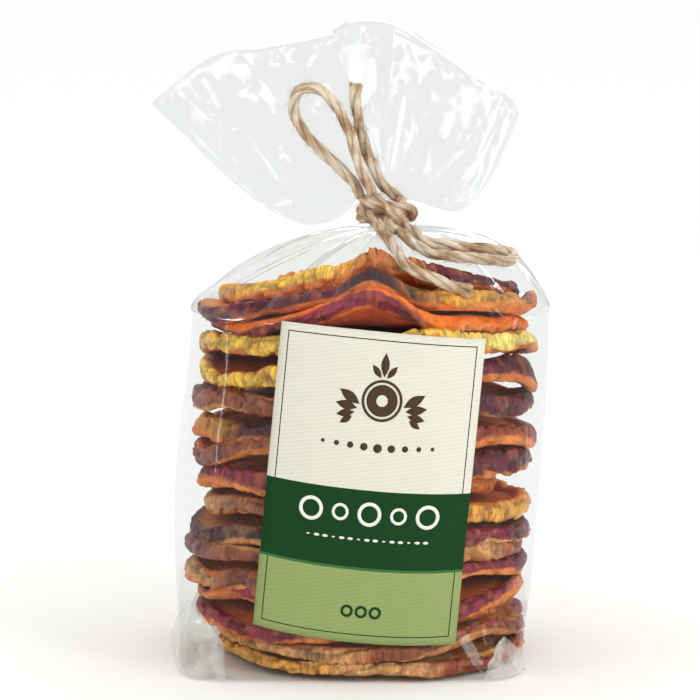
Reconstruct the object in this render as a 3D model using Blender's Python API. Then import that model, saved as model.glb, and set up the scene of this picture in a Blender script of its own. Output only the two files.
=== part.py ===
# Tied clear bag of dried apple rings, standing on its flat block bottom.
# Metres, +Z up, front towards -Y. The origin is the middle of the base, on the surface it stands on.

import math

import bmesh
import bpy
from mathutils import Vector

MM = 0.001

# Body of the bag, filled by one column of rings: from the base to the shoulder.
# Each row: height, middle X, half width, half depth, squareness (2 is an ellipse).
BODY_SECTIONS = (
    (0.0, 0.1, 40.0, 36.4, 6.0),
    (4.0, 0.2, 40.3, 36.9, 4.4),
    (10.0, 0.4, 41.1, 37.5, 3.2),
    (20.0, 0.8, 42.2, 38.0, 2.7),
    (32.0, 1.1, 42.9, 38.4, 2.5),
    (45.0, 1.9, 43.1, 38.5, 2.4),
    (60.0, 3.2, 42.7, 38.4, 2.4),
    (72.0, 4.1, 42.1, 38.0, 2.4),
    (82.0, 4.4, 41.8, 37.2, 2.5),
)
BASE_FOLD = 1.6
SHOULDER_HEIGHT = 82.0

# The rims of sixteen rings press against the film and leave low, wavy ridges round the body.
RIDGES = 16
RIDGE_DEPTH = 1.2
RIDGE_WAVE = 1.1

# Shoulder dome and the neck gathered inside the twine.
NECK_X = 7.6
NECK_START = 100.0
NECK_END = 107.2
NECK_RADIUS = 2.8
DOME_ROWS = 10
DOME_PLEAT = 0.9

# Film above the twine, spread out like a fan: its mouth edge from the left tip to the right end.
# Each row: share of the edge, X, height.
MOUTH_EDGE = (
    (0.0, -46.7, 129.4),
    (0.18, -32.6, 140.0),
    (0.275, -23.3, 142.5),
    (0.464, -5.1, 146.0),
    (0.53, 0.6, 149.0),
    (0.603, 7.8, 149.0),
    (0.685, 15.0, 145.8),
    (0.853, 28.6, 136.5),
    (0.95, 36.9, 131.6),
    (1.0, 39.3, 127.0),
)
FAN_ROWS = 13
FAN_HALF_THICKNESS = 5.6
FAN_SWAY = 2.6
FAN_PLEAT = 0.9
FAN_SAG_LEFT = 15.0
FAN_DROOP_RIGHT = 9.0
FAN_CURL_RIGHT = 3.4

COLUMNS = 72

# Label, a paper rectangle turned a little and wrapped round the front.
LABEL_WIDTH = 46.2
LABEL_HEIGHT = 68.8
LABEL_X = 4.3
LABEL_Z = 46.3
LABEL_TURN = math.radians(-5.6)
LABEL_THICKNESS = 0.3
LABEL_BOW = 1.6
TOUCH_GAP = 0.45

# Jute twine: two turns round the neck, the knot, two bow loops and two ends.
TWINE = 2.8
WRAP_RADIUS = NECK_RADIUS + 0.7 + TWINE / 2
WRAP_HEIGHTS = (102.3, 105.0)
KNOT_MIDDLE = (8.0, -7.6, 104.6)
KNOT_SIZE = (9.4, 5.4, 6.4)
NUB_MIDDLE = (13.2, -6.6, 104.2)
NUB_SIZE = (4.4, 3.2, 3.0)

LOOP_LEFT = (
    (2.7, -8.2, 108.0), (1.8, -8.0, 110.1), (0.0, -7.4, 112.6), (-2.9, -6.9, 115.4), (-6.3, -6.5, 118.5),
    (-9.4, -6.2, 121.7), (-11.9, -6.2, 125.1), (-13.1, -6.4, 128.7), (-12.4, -7.3, 131.9),
    (-10.4, -8.1, 133.5), (-7.9, -8.3, 133.5), (-5.6, -8.3, 132.2), (-3.8, -8.4, 130.2),
    (-2.2, -8.7, 127.8), (-0.8, -9.2, 125.0), (0.3, -9.5, 122.3), (1.1, -9.7, 119.3),
    (2.1, -9.9, 116.1), (3.6, -10.3, 112.5), (5.4, -10.5, 108.9),
)
TAIL_UP = (
    (11.4, -4.6, 108.0), (9.3, -6.9, 109.3), (7.4, -7.9, 111.4), (5.3, -7.8, 115.4), (3.8, -7.5, 119.0),
    (2.7, -7.4, 122.7), (1.8, -7.6, 126.5), (1.3, -7.9, 129.7), (1.1, -8.0, 132.4), (1.2, -8.1, 134.7),
)
LOOP_RIGHT = (
    (12.8, -10.0, 101.9), (14.4, -13.4, 100.8), (16.3, -16.6, 99.5), (18.8, -18.6, 98.6), (22.6, -18.9, 98.2),
    (27.8, -17.2, 97.5), (32.4, -14.2, 96.9), (35.6, -12.6, 96.2), (37.7, -13.4, 95.3), (37.6, -15.6, 94.6),
    (35.4, -17.7, 94.3), (32.0, -19.5, 94.8), (27.6, -21.8, 95.5), (23.4, -22.7, 95.9), (19.3, -22.4, 96.5),
    (16.2, -20.9, 97.6), (13.6, -17.6, 99.3), (11.4, -13.6, 100.9),
)
TAIL_LOW = (
    (5.9, -12.0, 103.2), (7.3, -13.6, 101.0), (9.2, -17.6, 98.8), (10.9, -22.5, 96.6), (12.5, -25.9, 94.6),
    (14.7, -27.9, 93.2), (17.5, -29.1, 92.2), (20.8, -29.9, 90.9), (24.4, -30.4, 89.6), (27.4, -30.3, 88.8),
)


def clear_scene():
    """Start from an empty scene, without the default objects."""
    for item in list(bpy.data.objects):
        bpy.data.objects.remove(item)


def linear(hex_colour):
    """Linear RGBA from an sRGB hex colour."""
    channels = [int(hex_colour[i:i + 2], 16) / 255 for i in (0, 2, 4)]
    return [c / 12.92 if c <= 0.04045 else ((c + 0.055) / 1.055) ** 2.4 for c in channels] + [1.0]


def material(name, hex_colour, roughness, metallic=0.0):
    """A Principled material of one colour."""
    made = bpy.data.materials.new(name)
    made.use_nodes = True
    shader = made.node_tree.nodes["Principled BSDF"]
    shader.inputs["Base Color"].default_value = linear(hex_colour)
    shader.inputs["Roughness"].default_value = roughness
    shader.inputs["Metallic"].default_value = metallic
    return made


def smooth_row(table, position):
    """The values at a position, on a smooth curve through the rows of a table."""
    last = len(table) - 1
    i = max(j for j in range(last) if j == 0 or table[j][0] <= position)
    before, here, there, after = table[max(i - 1, 0)], table[i], table[i + 1], table[min(i + 2, last)]
    span = there[0] - here[0]
    s = min(max((position - here[0]) / span, 0.0), 1.0)
    values = []
    for k in range(1, len(here)):
        start = (there[k] - before[k]) / (there[0] - before[0]) * span
        end = (after[k] - here[k]) / (after[0] - here[0]) * span
        values.append(here[k] * (2 * s**3 - 3 * s**2 + 1) + start * (s**3 - 2 * s**2 + s)
                      + there[k] * (3 * s**2 - 2 * s**3) + end * (s**3 - s**2))
    return values


def signed_power(value, power):
    return math.copysign(abs(value) ** power, value)


def section_point(height, angle, inset=0.0):
    """A point of the body's outline at a height, in millimetres."""
    middle, half_width, half_depth, square = smooth_row(BODY_SECTIONS, height)
    x = middle + (half_width - inset) * signed_power(math.cos(angle), 2 / square)
    y = (half_depth - inset) * signed_power(math.sin(angle), 2 / square)
    return Vector((x, y, height))


def front_of_body(x, height):
    """Y of the body's front at a place."""
    middle, half_width, half_depth, square = smooth_row(BODY_SECTIONS, height)
    return -half_depth * (1 - abs((x - middle) / half_width) ** square) ** (1 / square)


def rim_point(step, angle):
    """A point of the body's ridges: odd steps are the rims of rings, even steps the gaps between them."""
    height = BASE_FOLD + (SHOULDER_HEIGHT - BASE_FOLD) * step / (2 * RIDGES)
    middle_share = math.sqrt(max(0.0, math.sin(math.pi * step / (2 * RIDGES))))
    wave = math.sin(2 * angle + 0.28 * step) + 0.6 * math.sin(3 * angle - 0.4 * step + 1.0)
    depth = 0.0 if step % 2 else RIDGE_DEPTH * (0.7 + 0.3 * math.cos(5 * angle + step))
    return section_point(height + RIDGE_WAVE * wave * middle_share, angle, depth * middle_share)


def neck_point(angle, height, radius):
    """A point of the gathered neck, with its small gathers."""
    gathered = radius + 0.2 * math.cos(9 * angle)
    return Vector((NECK_X + gathered * math.cos(angle), gathered * math.sin(angle), height))


def dome_point(angle, rise):
    """A point of the shoulder dome: rise 0 is the shoulder, 1 the foot of the neck."""
    bulge = 2.65 + 1.15 * math.cos(angle) + 0.75 * math.sin(angle)
    turn = rise * math.pi / 2
    inward = 1 - math.cos(turn) ** (2 / bulge)
    upward = math.sin(turn) ** 2
    shoulder = section_point(SHOULDER_HEIGHT, angle)
    neck = neck_point(angle, NECK_START, NECK_RADIUS + 0.6)
    place = shoulder.lerp(neck, inward)
    place.z = shoulder.z + (neck.z - shoulder.z) * upward
    folds = math.cos(7 * angle + 1.0) + math.cos(11 * angle + 2.3)
    place.z += DOME_PLEAT * 0.5 * folds * math.sin(2 * turn) ** 2
    return place


def fan_point(angle, spread):
    """A point of the fan: spread 0 is the top of the neck, 1 the mouth edge."""
    share = (1 + math.cos(angle)) / 2
    neck = neck_point(angle, NECK_END, NECK_RADIUS)
    mouth_x, mouth_z = smooth_row(MOUTH_EDGE, share)
    left = max(0.0, 1 - share / 0.3) ** 2
    right = max(0.0, (share - 0.72) / 0.28) ** 2
    curl = math.sqrt(1 + FAN_CURL_RIGHT * right)
    x = neck.x + (mouth_x - neck.x) * spread ** (1 / curl)
    z = neck.z + (mouth_z - neck.z) * spread ** curl
    z -= FAN_DROOP_RIGHT * right * 4 * spread * (1 - spread) ** 3
    past_twine = max(0.0, (spread - 0.06) / 0.94)
    z -= FAN_SAG_LEFT * left * math.sin(math.pi * past_twine ** 0.72) * (1 - 0.25 * spread)
    closing = math.sqrt(max(0.0, 1 - spread ** 12))
    half = NECK_RADIUS + (FAN_HALF_THICKNESS - NECK_RADIUS) * spread
    sway = FAN_SWAY * spread * math.sin(2 * math.pi * 1.6 * share + 0.4)
    pleat = FAN_PLEAT * spread * math.cos(2 * math.pi * 9 * share)
    y = (half + pleat) * math.sin(angle) * closing + sway
    return Vector((x, y, z))


def bag_rows():
    """Closed rows of points over the whole bag, from the base to the mouth."""
    angles = [2 * math.pi * (k + 0.5) / COLUMNS for k in range(COLUMNS)]
    rows = []
    for step in range(3):
        turn = step * math.pi / 4
        inset = BASE_FOLD * (1 - math.sin(turn))
        lift = BASE_FOLD * (1 - math.cos(turn))
        row = [section_point(0.0, a, inset) + Vector((0, 0, lift)) for a in angles]
        rows.append(row)
    for step in range(1, 2 * RIDGES + 1):
        rows.append([rim_point(step, a) for a in angles])
    for step in range(1, DOME_ROWS + 1):
        rows.append([dome_point(a, step / DOME_ROWS) for a in angles])
    rows.append([neck_point(a, (NECK_START + NECK_END) / 2, NECK_RADIUS) for a in angles])
    for step in range(FAN_ROWS + 1):
        rows.append([fan_point(a, step / FAN_ROWS) for a in angles])
    return rows


def skin(rows):
    """A bmesh wall through closed rows of points, each row extruded from the one before."""
    mesh = bmesh.new()
    ring = [mesh.verts.new(point * MM) for point in rows[0]]
    edges = [mesh.edges.new(pair) for pair in zip(ring, ring[1:] + ring[:1])]
    bmesh.ops.contextual_create(mesh, geom=edges)
    for row in rows[1:]:
        made = bmesh.ops.extrude_edge_only(mesh, edges=edges)["geom"]
        fresh = {item for item in made if isinstance(item, bmesh.types.BMVert)}
        ring = [next(e.other_vert(v) for e in v.link_edges if e.other_vert(v) in fresh) for v in ring]
        edges = [e for e in made if isinstance(e, bmesh.types.BMEdge) and set(e.verts) <= fresh]
        for vert, point in zip(ring, row):
            vert.co = point * MM
    return mesh


def finish(mesh, name, surface):
    """Turn a bmesh into a named, smooth-shaded object."""
    bmesh.ops.recalc_face_normals(mesh, faces=mesh.faces)
    data = bpy.data.meshes.new(name)
    mesh.to_mesh(data)
    mesh.free()
    data.shade_smooth()
    data.set_sharp_from_angle(angle=math.radians(40))
    data.materials.append(surface)
    made = bpy.data.objects.new(name, data)
    bpy.context.collection.objects.link(made)
    return made


def make_bag(surface):
    """The filled bag: body, dome, neck and fan in one closed solid."""
    mesh = skin(bag_rows())
    bmesh.ops.remove_doubles(mesh, verts=mesh.verts, dist=0.02 * MM)
    return finish(mesh, "bag", surface)


def label_place(across, up, lift):
    """A point of the label: it follows the bag's front at a small distance, and its foot bows down."""
    x = across * LABEL_WIDTH / 2
    z = up * LABEL_HEIGHT / 2
    place_x = LABEL_X + x * math.cos(LABEL_TURN) - z * math.sin(LABEL_TURN)
    place_z = LABEL_Z + x * math.sin(LABEL_TURN) + z * math.cos(LABEL_TURN)
    place_z -= LABEL_BOW * (1 - across**2) * (1 - up) / 2
    return Vector((place_x, front_of_body(place_x, place_z) - lift, place_z))


def make_label(surface):
    """The paper label: a grid bent round the front, then given its thickness."""
    mesh = bmesh.new()
    bmesh.ops.create_grid(mesh, x_segments=14, y_segments=18, size=1.0)
    for vert in mesh.verts:
        vert.co = label_place(vert.co.x, vert.co.y, TOUCH_GAP + LABEL_THICKNESS) * MM
    inner = bmesh.ops.extrude_face_region(mesh, geom=mesh.faces[:])["geom"]
    for vert in (item for item in inner if isinstance(item, bmesh.types.BMVert)):
        vert.co.y += LABEL_THICKNESS * MM
    return finish(mesh, "label", surface)


def add_torus(mesh, middle, radius, thickness):
    """A turn of twine round the neck, lying flat."""
    circle = bmesh.ops.create_circle(mesh, segments=10, radius=thickness / 2 * MM)["verts"]
    for vert in circle:
        vert.co = Vector((radius * MM + vert.co.x, 0.0, vert.co.y)) + middle * MM
    edges = list({e for vert in circle for e in vert.link_edges})
    bmesh.ops.spin(mesh, geom=circle + edges, cent=middle * MM, axis=(0, 0, 1),
                   angle=2 * math.pi, steps=28, use_merge=True)


def lump(name, middle, size):
    """A rounded body of the knot, as an object of its own."""
    mesh = bmesh.new()
    bmesh.ops.create_icosphere(mesh, subdivisions=3, radius=0.5 * MM)
    for vert in mesh.verts:
        place = Vector(middle) * MM
        vert.co = place + Vector([c * s for c, s in zip(vert.co, size)])
    return finish(mesh, name, None)


def make_knot(surface):
    """Two turns round the neck, the knot and its nub, joined into one solid."""
    mesh = bmesh.new()
    for height in WRAP_HEIGHTS:
        add_torus(mesh, Vector((NECK_X, 0.0, height)), WRAP_RADIUS, TWINE)
    bmesh.ops.remove_doubles(mesh, verts=mesh.verts, dist=0.01 * MM)
    knot = finish(mesh, "twine_knot", surface)
    rounds = bpy.data.collections.new("knot rounds")
    bpy.context.scene.collection.children.link(rounds)
    pieces = [lump("knot lump", KNOT_MIDDLE, KNOT_SIZE), lump("knot nub", NUB_MIDDLE, NUB_SIZE)]
    for piece in pieces:
        bpy.context.collection.objects.unlink(piece)
        rounds.objects.link(piece)
    union = knot.modifiers.new("union", "BOOLEAN")
    union.operation = "UNION"
    union.operand_type = "COLLECTION"
    union.collection = rounds
    union.use_self = True
    bpy.context.view_layer.objects.active = knot
    bpy.ops.object.modifier_apply(modifier=union.name)
    for piece in pieces:
        bpy.data.objects.remove(piece)
    bpy.data.collections.remove(rounds)
    return knot


def make_cord(name, route, surface):
    """A free stretch of twine: a round tube through the route's points."""
    curve = bpy.data.curves.new(name, "CURVE")
    curve.dimensions = "3D"
    curve.bevel_depth = TWINE / 2 * MM
    curve.bevel_resolution = 2
    curve.use_fill_caps = True
    spline = curve.splines.new("POLY")
    spline.points.add(len(route) - 1)
    for point, place in zip(spline.points, route):
        point.co = (*(Vector(place) * MM), 1.0)
    curve.materials.append(surface)
    made = bpy.data.objects.new(name, curve)
    bpy.context.collection.objects.link(made)
    return made


def main():
    clear_scene()
    film = material("clear film", "E6EAEA", 0.08)
    paper = material("label paper", "E9E6D6", 0.7)
    jute = material("jute twine", "B99468", 0.9)
    make_bag(film)
    make_label(paper)
    make_knot(jute)
    make_cord("twine_loop_left", LOOP_LEFT, jute)
    make_cord("twine_loop_right", LOOP_RIGHT, jute)
    make_cord("twine_tail_up", TAIL_UP, jute)
    make_cord("twine_tail_low", TAIL_LOW, jute)


main()
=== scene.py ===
# %% [markdown]
# A tied clear bag of dried apple rings.
# The real pack is a block-bottom bag of clear film with one column of dried rings in it. Its top is
# gathered, tied with jute twine in a bow, and spreads out above the tie like a fan. A printed paper
# label is stuck on the front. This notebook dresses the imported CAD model: the closed solids of the bag
# are replaced by thin film and single rings, and the plain tubes of twine by twisted strands.
# Lengths are in millimetres until a mesh is finished, and the frame is in metres.

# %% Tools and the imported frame
import math

import bmesh
import bpy
import numpy as np
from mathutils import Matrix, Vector


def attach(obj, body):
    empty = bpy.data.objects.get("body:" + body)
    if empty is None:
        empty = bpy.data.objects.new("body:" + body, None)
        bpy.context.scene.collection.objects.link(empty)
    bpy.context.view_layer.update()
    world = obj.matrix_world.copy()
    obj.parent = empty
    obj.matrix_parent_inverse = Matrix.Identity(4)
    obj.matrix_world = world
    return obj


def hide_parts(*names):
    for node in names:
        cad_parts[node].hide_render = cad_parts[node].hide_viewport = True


MM = 0.001
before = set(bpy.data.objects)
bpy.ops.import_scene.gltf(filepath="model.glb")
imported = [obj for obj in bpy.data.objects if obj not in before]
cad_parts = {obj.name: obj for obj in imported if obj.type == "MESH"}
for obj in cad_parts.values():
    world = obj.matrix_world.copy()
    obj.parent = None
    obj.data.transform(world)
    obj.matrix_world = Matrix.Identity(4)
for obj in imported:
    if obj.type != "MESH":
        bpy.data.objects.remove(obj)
scene = bpy.context.scene
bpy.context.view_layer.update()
print("CAD nodes:", sorted(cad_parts))

# %% [markdown]
# Small helpers come first. Colours are written as sRGB hex values, as a colour picker shows them, and one
# function turns them to the linear values that Blender's shaders count in. One more function adds a node
# with its settings, values and links, so that every material below reads as a short recipe.

# %% Helpers for colours, nodes and meshes


def linear(hex_colour):
    """Linear RGBA from an sRGB hex colour."""
    channels = [int(hex_colour[i:i + 2], 16) / 255 for i in (0, 2, 4)]
    return [c / 12.92 if c <= 0.04045 else ((c + 0.055) / 1.055) ** 2.4 for c in channels] + [1.0]


def add_node(tree, kind, links=(), values=(), **settings):
    """Add a shader node: its settings, its plain values and its links, and give the node back."""
    made = tree.nodes.new("ShaderNode" + kind)
    for name, value in settings.items():
        setattr(made, name, value)
    for socket, value in dict(values).items():
        made.inputs[socket].default_value = value
    for socket, source in dict(links).items():
        tree.links.new(source, made.inputs[socket])
    return made


def new_material(name):
    """A material with its node tree, Principled shader and output."""
    made = bpy.data.materials.new(name)
    made.use_nodes = True
    nodes = made.node_tree.nodes
    return made, made.node_tree, nodes["Principled BSDF"], nodes["Material Output"]


def colour_ramp(tree, factor, stops):
    """A colour ramp from (position, hex) stops, driven by a factor."""
    ramp = add_node(tree, "ValToRGB", {"Fac": factor})
    elements = ramp.color_ramp.elements
    while len(elements) < len(stops):
        elements.new(0.5)
    for element, (position, colour) in zip(elements, stops):
        element.position = position
        element.color = linear(colour)
    return ramp.outputs["Color"]


def place_piece(name, data, materials, replaces=()):
    """Put a finished mesh in the scene as a piece that rides on the object."""
    for surface in materials:
        data.materials.append(surface)
    data.shade_smooth()
    made = bpy.data.objects.new(name, data)
    scene.collection.objects.link(made)
    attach(made, "root")
    if replaces:
        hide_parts(*replaces)
    return made


def finish_mesh(mesh, name):
    """Turn a bmesh into mesh data with its faces outwards."""
    bmesh.ops.recalc_face_normals(mesh, faces=mesh.faces)
    data = bpy.data.meshes.new(name)
    mesh.to_mesh(data)
    mesh.free()
    return data


def store(data, name, kind, values):
    """Keep values on a mesh as an attribute of its points, for its material to read."""
    field = {"FLOAT": "value", "FLOAT_VECTOR": "vector", "FLOAT_COLOR": "color"}[kind]
    data.attributes.new(name, kind, "POINT").data.foreach_set(field, np.asarray(values).ravel())


def give_wall(piece, thickness):
    """Turn a sheet into a closed piece with a wall of this thickness, in millimetres, on its inside."""
    wall = piece.modifiers.new("thickness", "SOLIDIFY")
    wall.thickness = thickness * MM
    wall.offset = -1.0


# %% [markdown]
# The camera stands 0.8 m from the bag and looks down by 7.5 degrees. Both were worked out from the
# photograph: the turns of the label's edges and how far the bag narrows downwards give them.

# %% Camera
TARGET = Vector((0.0, 0.0, 71.5)) * MM
ELEVATION = math.radians(7.5)
DISTANCE = 0.8
LENS = 174.86

camera_data = bpy.data.cameras.new("camera")
camera_data.lens = LENS
camera_data.sensor_width = 36.0
camera_data.clip_start = 0.01
camera = bpy.data.objects.new("camera", camera_data)
scene.collection.objects.link(camera)
towards_camera = Vector((0.0, -math.cos(ELEVATION), math.sin(ELEVATION)))
camera.location = TARGET + towards_camera * DISTANCE
camera.rotation_euler = (-towards_camera).to_track_quat("-Z", "Y").to_euler()
scene.camera = camera
print("camera at", [round(c, 4) for c in camera.location])

# %% [markdown]
# Jute twine is spun from long bast fibres. Three plies lie round each other at a low angle, and loose
# fibres stand off them. A plain tube with a bump would show none of that at the outline, so each ply is a
# tube of its own that winds round the route, and the loose fibres are hair-thin tubes.
# The route points are those of the solids, read from the photograph.

# %% Routes of the twine
TWINE = 2.8
PLIES = 3
PLY_RADIUS = 0.76
PLY_OFFSET = 0.62
PLY_PITCH = 19.0
PLY_GIRTH = 5.3
CREASE_DEPTH = 0.5
FRAYED_END = 3.6
STEP = 0.45

LOOP_LEFT = (
    (2.7, -8.2, 108.0), (1.8, -8.0, 110.1), (0.0, -7.4, 112.6), (-2.9, -6.9, 115.4), (-6.3, -6.5, 118.5),
    (-9.4, -6.2, 121.7), (-11.9, -6.2, 125.1), (-13.1, -6.4, 128.7), (-12.4, -7.3, 131.9),
    (-10.4, -8.1, 133.5), (-7.9, -8.3, 133.5), (-5.6, -8.3, 132.2), (-3.8, -8.4, 130.2),
    (-2.2, -8.7, 127.8), (-0.8, -9.2, 125.0), (0.3, -9.5, 122.3), (1.1, -9.7, 119.3),
    (2.1, -9.9, 116.1), (3.6, -10.3, 112.5), (5.4, -10.5, 108.9),
)
TAIL_UP = (
    (11.4, -4.6, 108.0), (9.3, -6.9, 109.3), (7.4, -7.9, 111.4), (5.3, -7.8, 115.4), (3.8, -7.5, 119.0),
    (2.7, -7.4, 122.7), (1.8, -7.6, 126.5), (1.3, -7.9, 129.7), (1.1, -8.0, 132.4), (1.2, -8.1, 134.7),
)
LOOP_RIGHT = (
    (12.8, -10.0, 101.9), (14.4, -13.4, 100.8), (16.3, -16.6, 99.5), (18.8, -18.6, 98.6),
    (22.6, -18.9, 98.2), (27.8, -17.2, 97.5), (32.4, -14.2, 96.9), (35.6, -12.6, 96.2),
    (37.7, -13.4, 95.3), (37.6, -15.6, 94.6), (35.4, -17.7, 94.3), (32.0, -19.5, 94.8),
    (27.6, -21.8, 95.5), (23.4, -22.7, 95.9), (19.3, -22.4, 96.5), (16.2, -20.9, 97.6),
    (13.6, -17.6, 99.3), (11.4, -13.6, 100.9),
)
TAIL_LOW = (
    (5.9, -12.0, 103.2), (7.3, -13.6, 101.0), (9.2, -17.6, 98.8), (10.9, -22.5, 96.6), (12.5, -25.9, 94.6),
    (14.7, -27.9, 93.2), (17.5, -29.1, 92.2), (20.8, -29.9, 90.9), (24.4, -30.4, 89.6), (27.4, -30.3, 88.8),
)


def smooth_route(points, step=STEP):
    """A Catmull-Rom curve through the points, cut into even short steps."""
    ends = [2 * Vector(points[0]) - Vector(points[1])] + [Vector(p) for p in points]
    ends.append(2 * Vector(points[-1]) - Vector(points[-2]))
    fine = []
    for a, b, c, d in zip(ends, ends[1:], ends[2:], ends[3:]):
        for k in range(12):
            t = k / 12
            fine.append(0.5 * (2 * b + (c - a) * t + (2 * a - 5 * b + 4 * c - d) * t**2
                               + (3 * b - a - 3 * c + d) * t**3))
    fine.append(ends[-2])
    reach = np.cumsum([0.0] + [(q - p).length for p, q in zip(fine, fine[1:])])
    count = max(4, round(reach[-1] / step))
    places = np.linspace(0.0, reach[-1], count + 1)
    table = np.array(fine)
    return np.column_stack([np.interp(places, reach, table[:, k]) for k in range(3)])


def frames_along(path):
    """Two side directions at every point, carried along without twisting."""
    ahead = np.gradient(path, axis=0)
    ahead /= np.linalg.norm(ahead, axis=1)[:, None]
    side = np.cross(ahead[0], (0.0, 0.3, 1.0))
    sides = []
    for direction in ahead:
        side = side - direction * side.dot(direction)
        side = side / np.linalg.norm(side)
        sides.append(side)
    sides = np.array(sides)
    return ahead, sides, np.cross(ahead, sides)


def strand(curve, path, radii):
    """One tube of a curve object, through the points of a path, with its own radii."""
    spline = curve.splines.new("POLY")
    spline.points.add(len(path) - 1)
    spline.points.foreach_set("co", np.column_stack([path * MM, np.ones(len(path))]).ravel())
    spline.points.foreach_set("radius", radii)


def tubes_to_mesh(curve, name):
    """The mesh of a curve's tubes, without the curve."""
    carrier = bpy.data.objects.new(name, curve)
    scene.collection.objects.link(carrier)
    bpy.context.view_layer.update()
    data = bpy.data.meshes.new_from_object(carrier.evaluated_get(bpy.context.evaluated_depsgraph_get()))
    bpy.data.objects.remove(carrier)
    bpy.data.curves.remove(curve)
    data.name = name
    return data


def new_tubes(name, radius, resolution):
    """An empty curve whose splines become closed tubes of one radius in millimetres."""
    curve = bpy.data.curves.new(name, "CURVE")
    curve.dimensions = "3D"
    curve.bevel_depth = radius * MM
    curve.bevel_resolution = resolution
    curve.use_fill_caps = True
    return curve


def wobble(chance, reach, spacing, size):
    """Chance values every few millimetres of a path, joined by straight lines."""
    knots = np.arange(0, reach[-1] + 5, spacing)
    return np.interp(reach, knots, chance.uniform(-size, size, len(knots)))


def twist_plies(curve, path, seed, frayed=False):
    """Wind the three plies of the twine round a path. Each swells and thins, and they part at a cut end."""
    chance = np.random.default_rng(seed)
    _, across, up = frames_along(path)
    reach = np.arange(len(path)) * STEP
    for ply in range(PLIES):
        turn = 2 * math.pi * (ply / PLIES + reach / PLY_PITCH) + wobble(chance, reach, 4.0, 0.35) + seed
        parted = 1 + 1.1 * frayed * np.clip((reach - reach[-1] + FRAYED_END) / FRAYED_END, 0, 1) ** 2
        outward = across * np.cos(turn)[:, None] + up * np.sin(turn)[:, None]
        offset = (PLY_OFFSET * parted)[:, None] * outward
        swell = 1 + 0.10 * wobble(chance, reach, 2.2, 1)
        ends = np.minimum(1.0, 0.35 + np.minimum(reach, reach[-1] - reach) / 0.9)
        strand(curve, path + offset, swell * ends)


def loose_fibres(curve, path, seed, count, length=3.2):
    """Hair-thin fibres that start on the twine and bend away from it."""
    chance = np.random.default_rng(seed)
    ahead, across, up = frames_along(path)
    for _ in range(count):
        k = int(chance.integers(2, len(path) - 2))
        turn = chance.uniform(0, 2 * math.pi)
        out = across[k] * math.cos(turn) + up[k] * math.sin(turn)
        lean = ahead[k] * chance.choice((-1, 1)) + out * chance.uniform(0.15, 0.9)
        bend = np.cross(lean, out) * chance.uniform(-0.5, 0.5) + out * chance.uniform(-0.5, 0.3)
        span = length * chance.uniform(0.4, 1.3)
        t = np.linspace(0, 1, 6)[:, None]
        strand(curve, path[k] + out * 1.15 + lean * span * 0.6 * t + bend * span * 0.5 * t**2,
               1.0 - 0.6 * t.ravel())


# %% [markdown]
# Jute is straw-coloured bast: matt and a little glossy along the fibre. Shade is painted into its colour
# where the plies meet, darker the deeper a point lies between them. Its fibres run along each ply, so the
# pattern follows the ply through an attribute that counts millimetres along it and round it, stretched
# thirty to one.

# %% Jute twine finish
jute, tree, shader, _ = new_material("jute_twine_spun_bast")
along = add_node(tree, "Attribute", attribute_name="strand").outputs["Vector"]
stretched = add_node(tree, "Mapping", {"Vector": along}, {"Scale": (0.2, 6.0, 6.0)}).outputs[0]
fibre = add_node(tree, "TexNoise", {"Vector": stretched}, {"Scale": 1.6, "Detail": 3.0, "Roughness": 0.65})
here = add_node(tree, "TexCoord").outputs["Object"]
patch = add_node(tree, "TexNoise", {"Vector": here}, {"Scale": 1 / (6 * MM), "Detail": 2.0})
both = add_node(tree, "Math", {0: fibre.outputs["Fac"], 1: patch.outputs["Fac"]}, operation="ADD")
half = add_node(tree, "Math", {0: both.outputs[0]}, {1: 0.5}, operation="MULTIPLY")
STRAW = ((0.36, "765234"), (0.43, "BE9265"), (0.50, "E8C69C"), (0.57, "FFF0D8"))
straw = colour_ramp(tree, half.outputs[0], STRAW)
# Painted shade: the straw colour darkens to under half where a point lies deep between the plies.
crease = add_node(tree, "Attribute", attribute_name="crease").outputs["Fac"]
ply_crease_shade = add_node(tree, "MapRange", {"Value": crease}, {"To Min": 1.0, "To Max": 0.45})
shaded = add_node(tree, "VectorMath", {0: straw, "Scale": ply_crease_shade.outputs[0]}, operation="SCALE")
tree.links.new(shaded.outputs[0], shader.inputs["Base Color"])
shader.inputs["Roughness"].default_value = 0.78
shader.inputs["Sheen Weight"].default_value = 0.25
bump = add_node(tree, "Bump", {"Height": fibre.outputs["Fac"]}, {"Strength": 1.0, "Distance": 0.4 * MM})
tree.links.new(bump.outputs[0], shader.inputs["Normal"])


def mark_strands(data, sides, axis=None):
    """Store millimetres along and round each tube, and how deep between the plies each point lies."""
    count = len(data.vertices)
    places = np.zeros(count * 3)
    data.vertices.foreach_get("co", places)
    index = np.arange(count)
    drift = places[2::3] * 40
    marks = np.column_stack([index // sides * STEP, index % sides / sides * PLY_GIRTH, drift])
    store(data, "strand", "FLOAT_VECTOR", marks)
    deep = np.zeros(count)
    if axis is not None:
        apart = places.reshape(-1, 1, 3) / MM - axis
        away = np.sqrt((apart**2).sum(axis=2).min(axis=1))
        deep = np.clip((PLY_RADIUS + PLY_OFFSET * 0.7 - away) / CREASE_DEPTH, 0, 1)
    store(data, "crease", "FLOAT", deep)


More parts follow.
